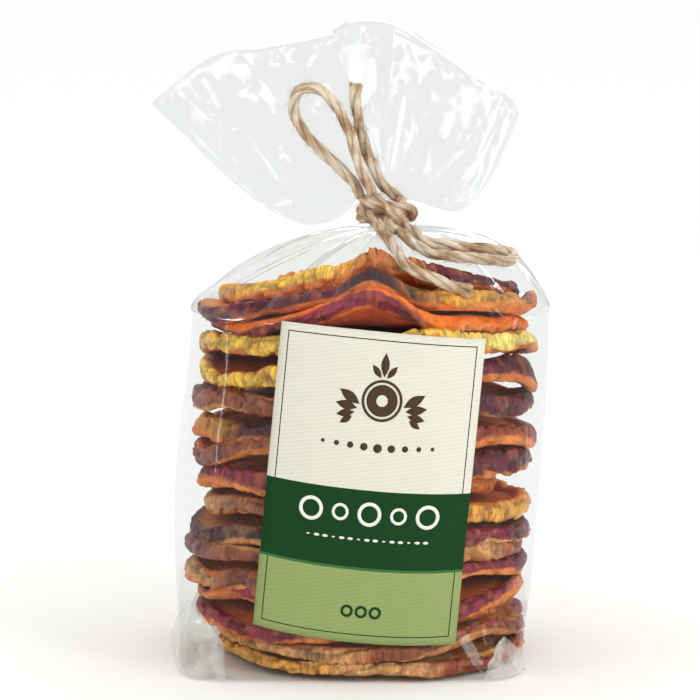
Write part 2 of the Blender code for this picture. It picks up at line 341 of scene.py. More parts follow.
def make_twine(name, routes, node, seed, fibres, frayed=False):
    """A stretch of twine with its loose fibres, in place of its CAD solid."""
    paths = [smooth_route(route) for route in routes]
    body = new_tubes(name, PLY_RADIUS, 3)
    hair = new_tubes(name + "_fuzz", 0.045, 0)
    for k, path in enumerate(paths):
        twist_plies(body, path, seed + k, frayed)
        loose_fibres(hair, path, seed + 50 + k, fibres)
        loose_fibres(hair, path, seed + 90 + k, fibres, 1.5)
    data = tubes_to_mesh(body, name)
    mark_strands(data, 10, np.concatenate(paths))
    fuzz = tubes_to_mesh(hair, name + "_fuzz")
    mark_strands(fuzz, 4)
    twine = place_piece(name, data, [jute], (node,))
    hairs = place_piece(name + "_fuzz", fuzz, [jute])
    print(name, len(data.polygons), "faces,", len(fuzz.polygons), "of fuzz")
    return twine, hairs, paths[0]


# %% The four free stretches of twine
for name, route, node, far_end, seed in (
    ("loop_left", LOOP_LEFT, "twine_loop_left", "object", 3),
    ("loop_right", LOOP_RIGHT, "twine_loop_right", "object", 7),
    ("tail_up", TAIL_UP, "twine_tail_up", "bare", 11),
    ("tail_low", TAIL_LOW, "twine_tail_low", "bare", 15),
):
    twine, hairs, path = make_twine(name, [route], node, seed, 150, far_end == "bare")

# %% [markdown]
# The knot is the same twine. Two turns go round the gathered neck, one turn climbs over the crossing on
# the left, one runs down across the front to the right, and a short bight stands out at the right.
# Routes of their own, wound with the same plies, keep the twist readable in the knot.

# %% Knot
NECK_X = 7.6
NECK_RADIUS = 2.8
WRAP_RADIUS = NECK_RADIUS + 0.7 + TWINE / 2


def turn_round_neck(height, start, end, rise=0.0):
    """Points of a turn of twine round the neck between two angles in degrees."""
    angles = np.radians(np.linspace(start, end, 16))
    return [(NECK_X + WRAP_RADIUS * math.cos(a), WRAP_RADIUS * math.sin(a), height + rise * k / 15)
            for k, a in enumerate(angles)]


KNOT_ROUTES = (
    turn_round_neck(102.3, -60, 280, 1.0),
    turn_round_neck(105.0, -70, 270, -0.8),
    ((4.2, -5.2, 107.6), (3.3, -8.2, 106.4), (4.0, -10.4, 104.4), (5.9, -11.6, 103.0), (7.8, -12.4, 101.0)),
    ((5.4, -10.5, 108.9), (7.4, -11.2, 107.0), (9.8, -11.4, 105.0), (12.0, -10.8, 103.2),
     (13.2, -9.6, 101.9)),
    ((2.7, -8.2, 108.0), (4.6, -10.4, 107.2), (8.0, -11.2, 106.4), (11.4, -9.8, 105.8), (13.6, -7.2, 105.4),
     (14.6, -5.6, 104.2), (13.4, -6.0, 103.0)),
    ((11.4, -4.6, 108.0), (11.8, -7.6, 106.6), (9.6, -9.8, 104.4), (9.0, -11.8, 102.2),
     (11.4, -13.6, 100.9)),
)
make_twine("knot", KNOT_ROUTES, "twine_knot", 23, 60)

# %% [markdown]
# The dried rings. Each was a slice of a whole apple with its skin on. As it dried, the flesh shrank to a
# leathery sheet about 2.3 mm thick and the skin pulled into a puckered rim that curls up and down.
# A spun cross-section gives a clean ring, and then every point is moved by functions of its place round
# the ring: that keeps the rim continuous and lets neighbours nest, which loose noise would not.
# The heights and reaches of each ring come from the photograph, at its left and right edges and in front.

# %% Ring table
TONES = {
    "gold": "EDA842", "yellow": "FBC84C", "pale": "FBE27A", "purple": "641A2A", "dark": "46141E",
    "wine": "8C2036", "brown": "9A4F2E", "rust": "943C22", "tan": "D69C60", "orange": "E0853F",
    "bright": "F27A20", "pink": "D08A6C", "mauve": "7C3C44",
}

# Each row, from the bottom: heights at left, front left, front, front right and right, reach to the left
# and right of the bag's middle, skin tones at the same five places, and the tone of the flesh.
RINGS = (
    ((2.2, 2.3, 2.3, 2.4, 2.6), -30.8, 40.8, ("gold", "gold", "tan", "rust", "rust"), "tan"),
    ((6.0, 6.6, 5.9, 7.6, 9.2), -31.5, 41.2, ("gold", "tan", "brown", "rust", "wine"), "tan"),
    ((9.8, 11.0, 10.4, 12.4, 11.5), -36.0, 36.2, ("wine", "wine", "tan", "orange", "orange"), "orange"),
    ((13.8, 15.8, 15.0, 17.4, 15.0), -37.0, 41.6, ("orange", "wine", "tan", "wine", "pink"), "orange"),
    ((18.6, 22.0, 21.0, 23.6, 20.0), -38.8, 41.0, ("tan", "brown", "brown", "wine", "purple"), "orange"),
    ((24.2, 28.6, 28.4, 28.6, 24.6), -38.6, 40.4, ("mauve", "brown", "tan", "tan", "rust"), "tan"),
    ((30.2, 34.0, 33.6, 33.2, 29.0), -38.4, 42.0, ("purple", "dark", "wine", "wine", "purple"), "tan"),
    ((35.4, 39.2, 39.0, 38.2, 34.0), -35.0, 42.6, ("tan", "brown", "gold", "gold", "gold"), "orange"),
    ((41.4, 45.4, 44.6, 43.4, 39.6), -36.0, 34.0, ("wine", "wine", "wine", "orange", "orange"), "orange"),
    ((47.6, 51.4, 50.2, 49.2, 45.4), -38.2, 43.4,
     ("mauve", "brown", "purple", "purple", "purple"), "orange"),
    ((54.2, 56.6, 56.0, 55.6, 51.4), -37.4, 43.4, ("gold", "dark", "rust", "rust", "wine"), "orange"),
    ((60.0, 62.4, 62.0, 62.4, 58.0), -36.8, 44.0,
     ("purple", "brown", "purple", "purple", "purple"), "tan"),
    ((66.6, 70.4, 68.6, 69.6, 65.0), -34.6, 44.4,
     ("yellow", "yellow", "yellow", "purple", "purple"), "orange"),
    ((73.2, 77.4, 76.6, 77.2, 73.4), -35.6, 45.0, ("yellow", "yellow", "yellow", "pale", "pale"), "orange"),
    ((77.4, 80.6, 80.0, 79.6, 77.8), -33.0, 41.0, ("purple", "wine", "wine", "orange", "orange"), "bright"),
    ((80.6, 84.8, 87.0, 86.0, 83.0), -37.4, 45.0, ("dark", "purple", "dark", "gold", "pink"), "orange"),
    ((84.8, 91.0, 93.8, 88.8, 85.4), -31.0, 40.2, ("gold", "yellow", "orange", "purple", "dark"), "orange"),
)
HEIGHT_ANGLES = (180.0, 236.0, 276.0, 316.0, 360.0)
ROUND_ANGLES = (-44.0, 0.0, 62.0, 118.0, *HEIGHT_ANGLES)

# The top rings lean back: how much lower they are behind.
BACK_DROP = {12: 1.0, 13: 2.5, 14: 4.5, 15: 7.0, 16: 10.0}

# Places where a rim arches up or sags: ring, angle, half angle, rise.
ARCHES = (
    (13, 292.0, 12.0, 2.4), (14, 271.0, 22.0, 6.6), (15, 262.0, 30.0, 2.0), (15, 180.0, 9.0, 1.8),
    (12, 214.0, 12.0, -2.4), (12, 338.0, 16.0, 1.6), (11, 330.0, 15.0, -1.2), (9, 226.0, 14.0, 1.5),
    (7, 330.0, 12.0, -1.0), (5, 340.0, 10.0, 1.0), (4, 228.0, 12.0, -1.6), (3, 228.0, 16.0, 2.2),
    (2, 232.0, 14.0, -1.2), (1, 318.0, 14.0, 1.6),
)

# %% Smooth chance round a ring
SAMPLES = 720


def waves(turns, cells, seed, across=None, rows=1):
    """Smooth random values from -1 to 1 round a ring, with a number of bumps in each turn."""
    table = np.random.default_rng(seed).uniform(-1, 1, (cells, rows + 1))
    place = np.asarray(turns) * cells
    low = np.floor(place).astype(int)
    part = place - low
    part = part * part * (3 - 2 * part)
    if across is None:
        return table[low % cells, 0] * (1 - part) + table[(low + 1) % cells, 0] * part
    level = np.clip(across, 0, 0.9999) * rows
    row = np.floor(level).astype(int)
    lift = level - row
    lift = lift * lift * (3 - 2 * lift)
    near = table[low % cells, row] * (1 - part) + table[(low + 1) % cells, row] * part
    far = table[low % cells, row + 1] * (1 - part) + table[(low + 1) % cells, row + 1] * part
    return near * (1 - lift) + far * lift


def smooth_round(values, degrees):
    """Blur values round a full turn by an angle."""
    wave_numbers = np.fft.rfftfreq(len(values), 1 / len(values))
    keep = np.exp(-0.5 * (wave_numbers * math.radians(degrees)) ** 2)
    return np.fft.irfft(np.fft.rfft(values) * keep, len(values))


# %% Shape of the film, as the solids have it
BODY_SECTIONS = (
    (0.0, 0.1, 40.0, 36.4, 6.0),
    (4.0, 0.2, 40.3, 36.9, 4.4),
    (10.0, 0.4, 41.1, 37.5, 3.2),
    (20.0, 0.8, 42.2, 38.0, 2.7),
    (32.0, 1.1, 42.9, 38.4, 2.5),
    (45.0, 1.9, 43.1, 38.5, 2.4),
    (60.0, 3.2, 42.7, 38.4, 2.4),
    (72.0, 4.1, 42.1, 38.0, 2.4),
    (82.0, 4.4, 41.8, 37.2, 2.5),
)
SHOULDER_HEIGHT = 82.0
NECK_START = 100.0


def smooth_row(table, position):
    """The values at a position, on a smooth curve through the rows of a table."""
    last = len(table) - 1
    i = max(j for j in range(last) if j == 0 or table[j][0] <= position)
    before, here, there, after = table[max(i - 1, 0)], table[i], table[i + 1], table[min(i + 2, last)]
    span = there[0] - here[0]
    s = min(max((position - here[0]) / span, 0.0), 1.0)
    values = []
    for k in range(1, len(here)):
        start = (there[k] - before[k]) / (there[0] - before[0]) * span
        end = (after[k] - here[k]) / (after[0] - here[0]) * span
        values.append(here[k] * (2 * s**3 - 3 * s**2 + 1) + start * (s**3 - 2 * s**2 + s)
                      + there[k] * (3 * s**2 - 2 * s**3) + end * (s**3 - s**2))
    return values


def signed_power(value, power):
    """A power that keeps the sign."""
    return math.copysign(abs(value) ** power, value)


def section_point(height, angle, inset=0.0):
    """A point of the body's outline at a height."""
    middle, half_width, half_depth, square = smooth_row(BODY_SECTIONS, height)
    x = middle + (half_width - inset) * signed_power(math.cos(angle), 2 / square)
    y = (half_depth - inset) * signed_power(math.sin(angle), 2 / square)
    return Vector((x, y, height))


def neck_point(angle, height, radius):
    """A point of the gathered neck, with its small gathers."""
    gathered = radius + 0.2 * math.cos(9 * angle)
    return Vector((NECK_X + gathered * math.cos(angle), gathered * math.sin(angle), height))


def dome_point(angle, rise):
    """A point of the shoulder dome: rise 0 is the shoulder, 1 the foot of the neck."""
    bulge = 2.65 + 1.15 * math.cos(angle) + 0.75 * math.sin(angle)
    turn = rise * math.pi / 2
    inward = 1 - math.cos(turn) ** (2 / bulge)
    upward = math.sin(turn) ** 2
    shoulder = section_point(SHOULDER_HEIGHT, angle)
    neck = neck_point(angle, NECK_START, NECK_RADIUS + 0.6)
    place = shoulder.lerp(neck, inward)
    place.z = shoulder.z + (neck.z - shoulder.z) * upward
    return place


def film_place(height, angle):
    """Where the film is at a height, on the body or on the shoulder dome."""
    if height <= SHOULDER_HEIGHT:
        return section_point(height, angle)
    climbed = min(1.0, (height - SHOULDER_HEIGHT) / (NECK_START - SHOULDER_HEIGHT))
    return dome_point(angle, math.asin(math.sqrt(climbed)) / (math.pi / 2))


# %% [markdown]
# Stacking. The rings lie on each other, so a rim can't sink into the one below. Going upwards, each rim
# is lifted wherever it would, and smoothed again, as a leathery ring gives way under the weight above.
# The reach of each rim is also cut back where it would come through the film.

# %% Stack the rims
RIM_WIDTH = 3.9
FILM_GAP = 1.5
LOWEST_GAP = 0.9
NESTING = 0.74
FLOOR_GAP = 0.4


def rim_heights(row, number):
    """Wished height of a rim, at even samples round the ring."""
    heights = row[0]
    chance = np.random.default_rng(400 + number)
    back = (heights[0] + heights[4]) / 2 + chance.uniform(-1.2, 1.2, 2) - BACK_DROP.get(number, 0.0)
    values = (heights[3], heights[4], *back, *heights)
    turns = np.arange(SAMPLES) / SAMPLES
    wish = smooth_round(np.interp(turns * 360, ROUND_ANGLES, values), 9)
    for ring, angle, half_angle, rise in ARCHES:
        if ring == number:
            away = (turns * 360 - angle + 180) % 360 - 180
            wish = wish + rise * np.exp(-((away / half_angle) ** 2))
    size = 0.4 if number < 3 else 1.0
    return wish + size * (1.2 * waves(turns, 7, 10 + number) + 0.8 * waves(turns, 15, 40 + number))


def rim_thickness(number):
    """Half the height of the rim at even samples."""
    turns = np.arange(SAMPLES) / SAMPLES
    base = 1.8 if number < 4 else 2.4
    # One rim is thick at its right, and the top one thick at its left and thin at its right.
    if number == 12:
        base = base + 0.9 * np.exp(-((turns * 360 - 340) / 34) ** 2)
    if number == 16:
        base = base + 1.3 * np.exp(-((turns * 360 - 235) / 40) ** 2)
        base = base - 1.1 * np.exp(-((turns * 360 - 325) / 34) ** 2)
    return base * (1 + 0.24 * waves(turns, 9, 70 + number) + 0.12 * waves(turns, 25, 75 + number))


def rim_reach(row, number, heights):
    """Distance of the rim from the ring's middle, kept inside the film."""
    turns = np.arange(SAMPLES) / SAMPLES
    angle = 2 * math.pi * turns
    middle = (row[1] + row[2]) / 2
    reach = 1 / np.sqrt((np.cos(angle) / ((row[2] - row[1]) / 2)) ** 2 + (np.sin(angle) / 37.4) ** 2)
    reach += 0.8 * waves(turns, 6, 100 + number) + 0.5 * waves(turns, 14, 130 + number)
    for k in range(SAMPLES):
        film = film_place(heights[k], angle[k])
        gap = FILM_GAP if number else LOWEST_GAP
        reach[k] = min(reach[k], math.hypot(film.x - middle, film.y) - gap)
    return middle, smooth_round(reach, 1.2)


rim_z = []
rim_half = []
for number, row in enumerate(RINGS):
    wish = rim_heights(row, number)
    half = rim_thickness(number)
    if rim_z:
        wish = np.maximum(wish, rim_z[-1] + NESTING * (rim_half[-1] + half))
    else:
        wish = np.maximum(wish, half + FLOOR_GAP)
    rim_z.append(smooth_round(wish, 2.0))
    rim_half.append(half)
print("rims from", round(float(rim_z[0].min()), 1), "to", round(float(rim_z[-1].max()), 1), "mm")

# %% Spin one clean ring
CLEAN_REACH = 38.0
CLEAN_HOLE = 9.5
CLEAN_NECK = CLEAN_REACH - RIM_WIDTH
BEAD = RIM_WIDTH / 2
BEAD_HALF = 2.25
FLESH_HALF = 1.15
RING_STEPS = 480
ARCHED_RING = 14


def ring_outline():
    """Cross-section of a clean ring: the hole's edge, the flesh and the rim's bead."""
    points = []
    for k in range(4):
        turn = math.radians(112.5 + 45 * k)
        points.append((CLEAN_HOLE + 1.1 + 1.1 * math.cos(turn), FLESH_HALF * math.sin(turn)))
    flesh = np.linspace(CLEAN_HOLE + 2.4, CLEAN_NECK, 10)
    points += [(r, -FLESH_HALF) for r in flesh]
    for k in range(19):
        turn = math.radians(-141 + 282 * k / 18)
        across = signed_power(math.cos(turn), 0.75)
        up = signed_power(math.sin(turn), 0.75)
        points.append((CLEAN_NECK + BEAD * (1 + across), BEAD_HALF * up))
    points += [(r, FLESH_HALF) for r in flesh[::-1]]
    return points


spun = bmesh.new()
corners = [spun.verts.new((r, 0.0, z)) for r, z in ring_outline()]
rim_edges = [spun.edges.new(pair) for pair in zip(corners, corners[1:] + corners[:1])]
bmesh.ops.spin(spun, geom=corners + rim_edges, cent=(0, 0, 0), axis=(0, 0, 1),
               angle=2 * math.pi, steps=RING_STEPS, use_merge=True)
clean_ring = finish_mesh(spun, "clean_ring")
print("clean ring:", len(clean_ring.vertices), "points")

# %% Dried apple finish
apple, tree, shader, _ = new_material("dried_apple_skin_and_flesh")
tone = add_node(tree, "Attribute", attribute_name="tone").outputs["Color"]
skin_share = add_node(tree, "Attribute", attribute_name="skin").outputs["Fac"]
grain = add_node(tree, "Attribute", attribute_name="grain").outputs["Vector"]
here = add_node(tree, "TexCoord").outputs["Object"]
pucker = add_node(tree, "Mapping", {"Vector": grain}, {"Scale": (1.0, 0.22, 1.0)}).outputs[0]
ridges = add_node(tree, "TexNoise", {"Vector": pucker},
                  {"Scale": 0.95, "Detail": 3.0, "Roughness": 0.6, "Distortion": 0.3})
mottle = add_node(tree, "TexNoise", {"Vector": here},
                  {"Scale": 1 / (2.6 * MM), "Detail": 5.0, "Roughness": 0.62})
shade = add_node(tree, "MapRange", {"Value": mottle.outputs["Fac"]},
                 {"From Min": 0.3, "From Max": 0.7, "To Min": 0.62, "To Max": 1.28})
# Painted shade and highlight: the skin's colour follows the pucker ridges that also make its bump, lighter
# on their tops and darker in their hollows.
ridge_shade = add_node(tree, "MapRange", {"Value": ridges.outputs["Fac"]},
                  {"From Min": 0.36, "From Max": 0.64, "To Min": 0.62, "To Max": 1.34})
pepper = add_node(tree, "TexNoise", {"Vector": here}, {"Scale": 1 / (0.8 * MM), "Detail": 1.0})
specks = add_node(tree, "MapRange", {"Value": pepper.outputs["Fac"]},
                  {"From Min": 0.66, "From Max": 0.72, "To Min": 1.0, "To Max": 0.45})
# The painted ridge shade, times the skin's own dark specks.
ridge_shade_and_specks = add_node(tree, "Math", {0: ridge_shade.outputs[0], 1: specks.outputs[0]}, operation="MULTIPLY")
depth = add_node(tree, "Mix", {"Factor": skin_share, "A": shade.outputs[0], "B": ridge_shade_and_specks.outputs[0]},
                 data_type="FLOAT")
mixed = add_node(tree, "VectorMath", {0: tone, 1: depth.outputs["Result"]}, operation="MULTIPLY")
tree.links.new(mixed.outputs[0], shader.inputs["Base Color"])
gloss = add_node(tree, "MapRange", {"Value": skin_share}, {"To Min": 0.62, "To Max": 0.40})
tree.links.new(gloss.outputs[0], shader.inputs["Roughness"])
shader.inputs["Subsurface Weight"].default_value = 0.06
shader.inputs["Subsurface Radius"].default_value = (1.0, 0.45, 0.2)
shader.inputs["Subsurface Scale"].default_value = 1.4 * MM
fine = add_node(tree, "TexNoise", {"Vector": here}, {"Scale": 1 / (0.9 * MM), "Detail": 3.0})
relief = add_node(tree, "Mix", {"Factor": skin_share, "A": fine.outputs["Fac"], "B": ridges.outputs["Fac"]},
                  data_type="FLOAT")
bump = add_node(tree, "Bump", {"Height": relief.outputs["Result"]}, {"Strength": 0.9, "Distance": 0.5 * MM})
tree.links.new(bump.outputs[0], shader.inputs["Normal"])
shader.inputs["Specular IOR Level"].default_value = 0.35


def tones_round(names, turns, seed):
    """Skin colour round a ring, as linear RGB."""
    round_names = (names[3], names[4], names[4], names[0], *names)
    colours = np.array([linear(TONES[name])[:3] for name in round_names])
    place = turns * 360 + 16 * waves(turns, 9, seed) + 7 * waves(turns, 33, seed + 1)
    sharp = np.interp(np.clip(place, 0, 360), ROUND_ANGLES, range(len(ROUND_ANGLES)))
    low = np.floor(sharp)
    part = np.clip((sharp - low - 0.25) / 0.5, 0, 1)[:, None]
    low = low.astype(int)
    high = np.minimum(low + 1, len(ROUND_ANGLES) - 1)
    return colours[low] * (1 - part) + colours[high] * part


def dry_ring(number, row):
    """Bend and pucker a clean ring into ring number of the column, and colour it."""
    data = clean_ring.copy()
    count = len(data.vertices)
    flat = np.zeros(count * 3)
    data.vertices.foreach_get("co", flat)
    x, y, z = flat.reshape(-1, 3).T
    angle = np.arctan2(y, x)
    turns = (angle / (2 * math.pi)) % 1.0
    radius = np.hypot(x, y)
    samples = np.arange(SAMPLES + 1) / SAMPLES

    def round_ring(values):
        return np.interp(turns, samples, np.append(values, values[0]))

    heights = rim_z[number]
    middle, reach = rim_reach(row, number, heights)
    outer = round_ring(reach)
    base = float(heights.mean())
    ring_angles = samples[:-1] * 2 * math.pi
    lean_x = float((heights * np.cos(ring_angles)).mean() * 2)
    lean_y = float((heights * np.sin(ring_angles)).mean() * 2)
    rest = heights - base - lean_x * np.cos(ring_angles) - lean_y * np.sin(ring_angles)

    hole = CLEAN_HOLE + 0.9 * waves(turns, 5, 200 + number) + 0.35 * waves(turns, 17, 210 + number)
    neck = outer - RIM_WIDTH
    share = np.clip((radius - CLEAN_HOLE) / (CLEAN_NECK - CLEAN_HOLE), 0, 1)
    in_bead = radius > CLEAN_NECK + 1e-6

    # The flesh sheet follows the rim's lean, and takes up its waves only near the rim.
    power = 9.0 if number == ARCHED_RING else 2.6
    sheet_radius = hole + share * (neck - hole)
    sheet = base + (lean_x * np.cos(angle) + lean_y * np.sin(angle)) * sheet_radius / outer
    sheet += round_ring(rest) * share**power
    wavy = 0.8 if number == len(RINGS) - 1 else 0.45
    sheet += wavy * waves(turns, 9, 220 + number, share, 3) * np.sin(math.pi * share)
    thin = 1 + 0.25 * waves(turns, 21, 230 + number, share, 5)

    # The rim's bead tilts with the sheet and curls a little on its own.
    roll = np.arctan(power * round_ring(rest) / (neck - hole))
    roll += 0.4 * waves(turns, 8, 240 + number) + 0.25 * waves(turns, 22, 250 + number)
    tilt = 0.55 + 0.6 * waves(turns, 6, 330 + number) + 0.2 * waves(turns, 19, 335 + number)
    if number == ARCHED_RING:
        tilt = tilt - 1.3
    roll += 0.35 * tilt
    bead_x = radius - CLEAN_NECK - BEAD
    facing = np.arctan2(z, bead_x)
    level = (facing + math.pi) / (2 * math.pi)
    ease = np.clip((np.cos(facing) + 0.75) / 0.9, 0, 1)
    fold = waves(turns + 0.004 * np.sin(level * 9 + number), 38, 260 + number, level, 4)
    ridge = waves(turns + 0.002 * np.sin(level * 14), 128, 270 + number, level, 8)
    crease = np.clip(1 - np.abs(fold) * 3.0, 0, 1) ** 1.3
    fine_crease = np.clip(1 - np.abs(ridge) * 2.4, 0, 1)
    puffs = 0.26 * waves(turns, 21, 280 + number, level, 3)
    swell = 1 + ease * (puffs - 0.40 * crease - 0.26 * fine_crease)
    tall = round_ring(rim_half[number]) / BEAD_HALF
    local_r = bead_x * swell + BEAD
    hang = 0.9 * waves(turns, 7, 285 + number) * ease
    local_z = z * swell * tall + hang
    turned_r = local_r * np.cos(roll) - local_z * np.sin(roll)
    turned_z = local_r * np.sin(roll) + local_z * np.cos(roll)
    rim_base = base + (lean_x * np.cos(angle) + lean_y * np.sin(angle)) * neck / outer + round_ring(rest)

    inside_hole = np.minimum(radius - CLEAN_HOLE, 0)
    final_r = np.where(in_bead, neck + turned_r, sheet_radius + inside_hole)
    final_z = np.where(in_bead, rim_base + turned_z - 0.5 * np.sin(roll) * BEAD, sheet + z * thin)
    final_z = np.maximum(final_z, FLOOR_GAP)
    final = np.column_stack([middle + final_r * np.cos(angle), final_r * np.sin(angle), final_z])
    data.vertices.foreach_set("co", (final * MM).ravel())

    # Skin covers the outside of the bead, flesh the rest. Shade is painted into the skin's creases.
    wraps = 0.25 * waves(turns, 13, 290 + number) + 0.15 * waves(turns, 60, 300 + number)
    skin = np.clip((np.cos(facing - tilt) - 0.12 + wraps) / 0.16, 0, 1) * in_bead
    skin_tone = tones_round(row[3], turns, 310 + number)
    # Painted light and shade: random lighter and darker patches over the skin.
    light_patches = 1.04 + 0.2 * waves(turns, 90, 312 + number, level, 6)
    # Painted shade in the fold creases and fine creases, times the painted light patches.
    skin_tone = skin_tone * ((1 - 0.5 * crease - 0.24 * fine_crease) * light_patches)[:, None]
    flesh_tone = np.array(linear(TONES[row[4]])[:3])
    rubbed = np.clip(1.3 * waves(turns, 120, 340 + number, level, 5) - 0.35, 0, 0.28)[:, None]
    skin_tone = skin_tone * (1 - rubbed) + flesh_tone * rubbed * 0.8
    toasted = np.array((0.70, 0.50, 0.38))
    dry = np.clip(0.35 + 0.5 * waves(turns, 16, 320 + number, share, 3), 0, 1)[:, None]
    fibres = 1.12 + 0.16 * waves(turns, 110, 350 + number, share, 4)
    # The flesh is darker near the edge of the hole.
    fibres -= 0.3 * np.exp(-((share - 0.05) / 0.08) ** 2)
    flesh = flesh_tone * (1 - dry * (1 - toasted)) * fibres[:, None]
    tone_values = flesh * (1 - skin)[:, None] + skin_tone * skin[:, None]
    store(data, "tone", "FLOAT_COLOR", np.column_stack([tone_values, np.ones(count)]))
    store(data, "skin", "FLOAT", skin)
    grain = np.column_stack([turns * 240, level * 14, np.full(count, number * 9.0)])
    store(data, "grain", "FLOAT_VECTOR", grain)
    data.update()
    return data


rings = []
for number, row in enumerate(RINGS):
    data = dry_ring(number, row)
    rings.append(place_piece("apple_ring_%02d" % (number + 1), data, [apple], ("bag",)))
bpy.data.meshes.remove(clean_ring)
print(len(rings), "rings")

# %% [markdown]
# The film. Its body, shoulders, neck and fan are one tube, as a real bag is: a wall of rows that follow
# the solids, each row a closed loop of points. The tube is cut in two under the twine, so that lights can
# be set for the fan alone. Creases are made in the mesh, because a highlight on clear film shows every
# facet. A Solidify modifier gives the wall a real thickness and closes it.

# %% Film shape
BASE_FOLD = 1.6
BASE_ROWS = 5
NECK_END = 107.2
MOUTH_EDGE = (
    (0.0, -46.7, 129.4),
    (0.18, -32.6, 140.0),
    (0.275, -23.3, 142.5),
    (0.464, -5.1, 146.0),
    (0.53, 0.6, 149.0),
    (0.603, 7.8, 149.0),
    (0.685, 15.0, 145.8),
    (0.853, 28.6, 136.5),
    (0.95, 36.9, 131.6),
    (1.0, 39.3, 127.0),
)
FILM_COLUMNS = 320
BODY_ROWS = 40
DOME_ROWS = 28
NECK_ROWS = 6
FAN_ROWS = 71
FILM_THICKNESS = 0.07
FACET_ANGLE = math.radians(5)


def fan_point(angle, spread):
    """A point of the fan: spread 0 is the top of the neck, 1 the mouth edge."""
    share = (1 + math.cos(angle)) / 2
    neck = neck_point(angle, NECK_END, NECK_RADIUS)
    mouth_x, mouth_z = smooth_row(MOUTH_EDGE, share)
    # The left side hangs in a bow down to the tie, and the right side bulges before it turns up.
    left = max(0.0, 1 - share / 0.3) ** 2
    right = max(0.0, (share - 0.72) / 0.28) ** 2
    curl = math.sqrt(1 + 3.4 * right)
    x = neck.x + (mouth_x - neck.x) * spread ** (1 / curl)
    z = neck.z + (mouth_z - neck.z) * spread ** curl
    z -= 9.0 * right * 4 * spread * (1 - spread) ** 3
    past_twine = max(0.0, (spread - 0.06) / 0.94)
    z -= 15.0 * left * math.sin(math.pi * past_twine ** 0.72) * (1 - 0.25 * spread)
    closing = math.sqrt(max(0.0, 1 - spread ** 12))
    half = NECK_RADIUS + (5.6 - NECK_RADIUS) * spread
    sway = 2.6 * spread * math.sin(2 * math.pi * 1.6 * share + 0.4)
    return Vector((x, half * math.sin(angle) * (0.25 + 0.75 * closing) + sway, z))


def kinks(place, cells, seed):
    """Straight-sided folds: random values joined by straight lines, so that each corner is a crease."""
    table = np.random.default_rng(seed).uniform(-1, 1, cells)
    spot = (place % 1.0) * cells
    low = int(spot)
    part = spot - low
    return table[low % cells] * (1 - part) + table[(low + 1) % cells] * part


# Creases and flat facets: X, height, half width, half length, turn in degrees, rise, wall (-1 front).
FAN_CREASES = (
    (-24.0, 131.0, 6.5, 9.0, 22.0, 2.1, -1), (-17.6, 139.0, 1.3, 3.4, -15.0, 0.7, -1),
    (-6.8, 141.8, 1.6, 5.6, -20.0, 1.0, -1), (2.2, 145.0, 0.9, 7.4, 71.0, 0.6, -1),
    (8.6, 139.2, 1.1, 5.6, 84.0, 0.7, -1), (13.8, 125.0, 1.2, 4.8, 33.0, 0.8, -1),
    (22.6, 108.8, 1.1, 9.5, -65.0, 0.9, -1), (29.5, 123.3, 1.2, 8.4, -32.0, 1.0, -1),
    (14.4, 113.9, 1.1, 6.4, -28.0, 0.8, -1), (7.9, 122.0, 1.9, 11.0, 3.0, 1.1, -1),
    (6.9, 124.8, 1.0, 6.5, 23.0, 0.8, -1), (-5.3, 110.4, 1.1, 7.6, 63.0, 0.8, -1),
    (-14.9, 122.1, 1.5, 7.0, 38.0, 1.0, -1), (-17.5, 117.6, 1.6, 3.8, 84.0, 0.9, -1),
    (-15.5, 105.6, 1.0, 5.8, -70.0, 0.8, -1), (20.5, 133.5, 4.5, 6.5, 20.0, 1.8, -1),
    (-30.0, 124.0, 8.0, 3.0, -30.0, 1.4, 1), (22.0, 130.0, 7.0, 6.0, -15.0, 1.8, 1),
    (-8.0, 134.0, 6.0, 5.0, 40.0, 1.7, 1), (24.0, 117.0, 1.2, 9.0, -50.0, 0.9, 1),
    (-12.0, 119.0, 1.6, 12.0, 52.0, 0.9, -1), (-9.0, 112.6, 1.4, 11.0, 66.0, 0.8, -1),
    (-4.0, 122.0, 1.5, 11.0, 28.0, 0.9, -1), (0.5, 119.0, 1.2, 9.0, 22.0, 0.7, -1),
    (-27.0, 121.0, 2.2, 8.0, 60.0, 1.2, -1), (12.0, 118.0, 1.3, 9.0, -18.0, 0.8, -1),
    (17.0, 124.0, 1.4, 9.0, -30.0, 0.8, -1), (10.5, 131.0, 1.8, 8.0, -6.0, 1.1, -1),
    (-21.0, 128.0, 5.0, 6.0, 40.0, 1.9, -1), (-12.0, 133.0, 3.4, 6.0, 30.0, 1.3, -1),
)
CREASES = (
    (38.0, 83.0, 1.0, 6.5, -14.0, 0.8, -1), (25.5, 80.5, 1.3, 3.8, 15.0, 0.8, -1),
    (-26.5, 86.0, 2.6, 3.2, 60.0, 0.9, -1), (-17.0, 82.0, 1.6, 8.0, -69.0, 0.9, -1),
    (-10.5, 92.0, 0.9, 3.2, 0.0, 0.7, -1), (-5.6, 88.5, 1.2, 6.4, -43.0, 0.8, -1),
    (-31.0, 16.0, 1.2, 9.0, 24.0, 0.8, -1), (-34.0, 8.0, 1.4, 6.0, -35.0, 0.8, -1),
    (-24.0, 6.0, 1.2, 5.0, 60.0, 0.7, -1), (33.0, 8.0, 1.2, 6.0, 35.0, 0.7, -1),
    (40.0, 50.0, 0.9, 16.0, 2.0, 0.5, -1), (-38.0, 44.0, 0.9, 14.0, -3.0, 0.5, -1),
)


def dents(table, place, side):
    """How far the creases of one wall lift a point off it."""
    lift = 0.0
    for x, z, half_width, half_length, turn, rise, wall in table:
        if wall * side <= 0 or abs(place.z - z) > half_length + half_width:
            continue
        angle = math.radians(turn)
        across = (place.x - x) * math.cos(angle) + (place.z - z) * math.sin(angle)
        along = (place.z - z) * math.cos(angle) - (place.x - x) * math.sin(angle)
        lift += rise * max(0.0, min(1 - abs(across) / half_width, 1 - abs(along) / half_length))
    return lift


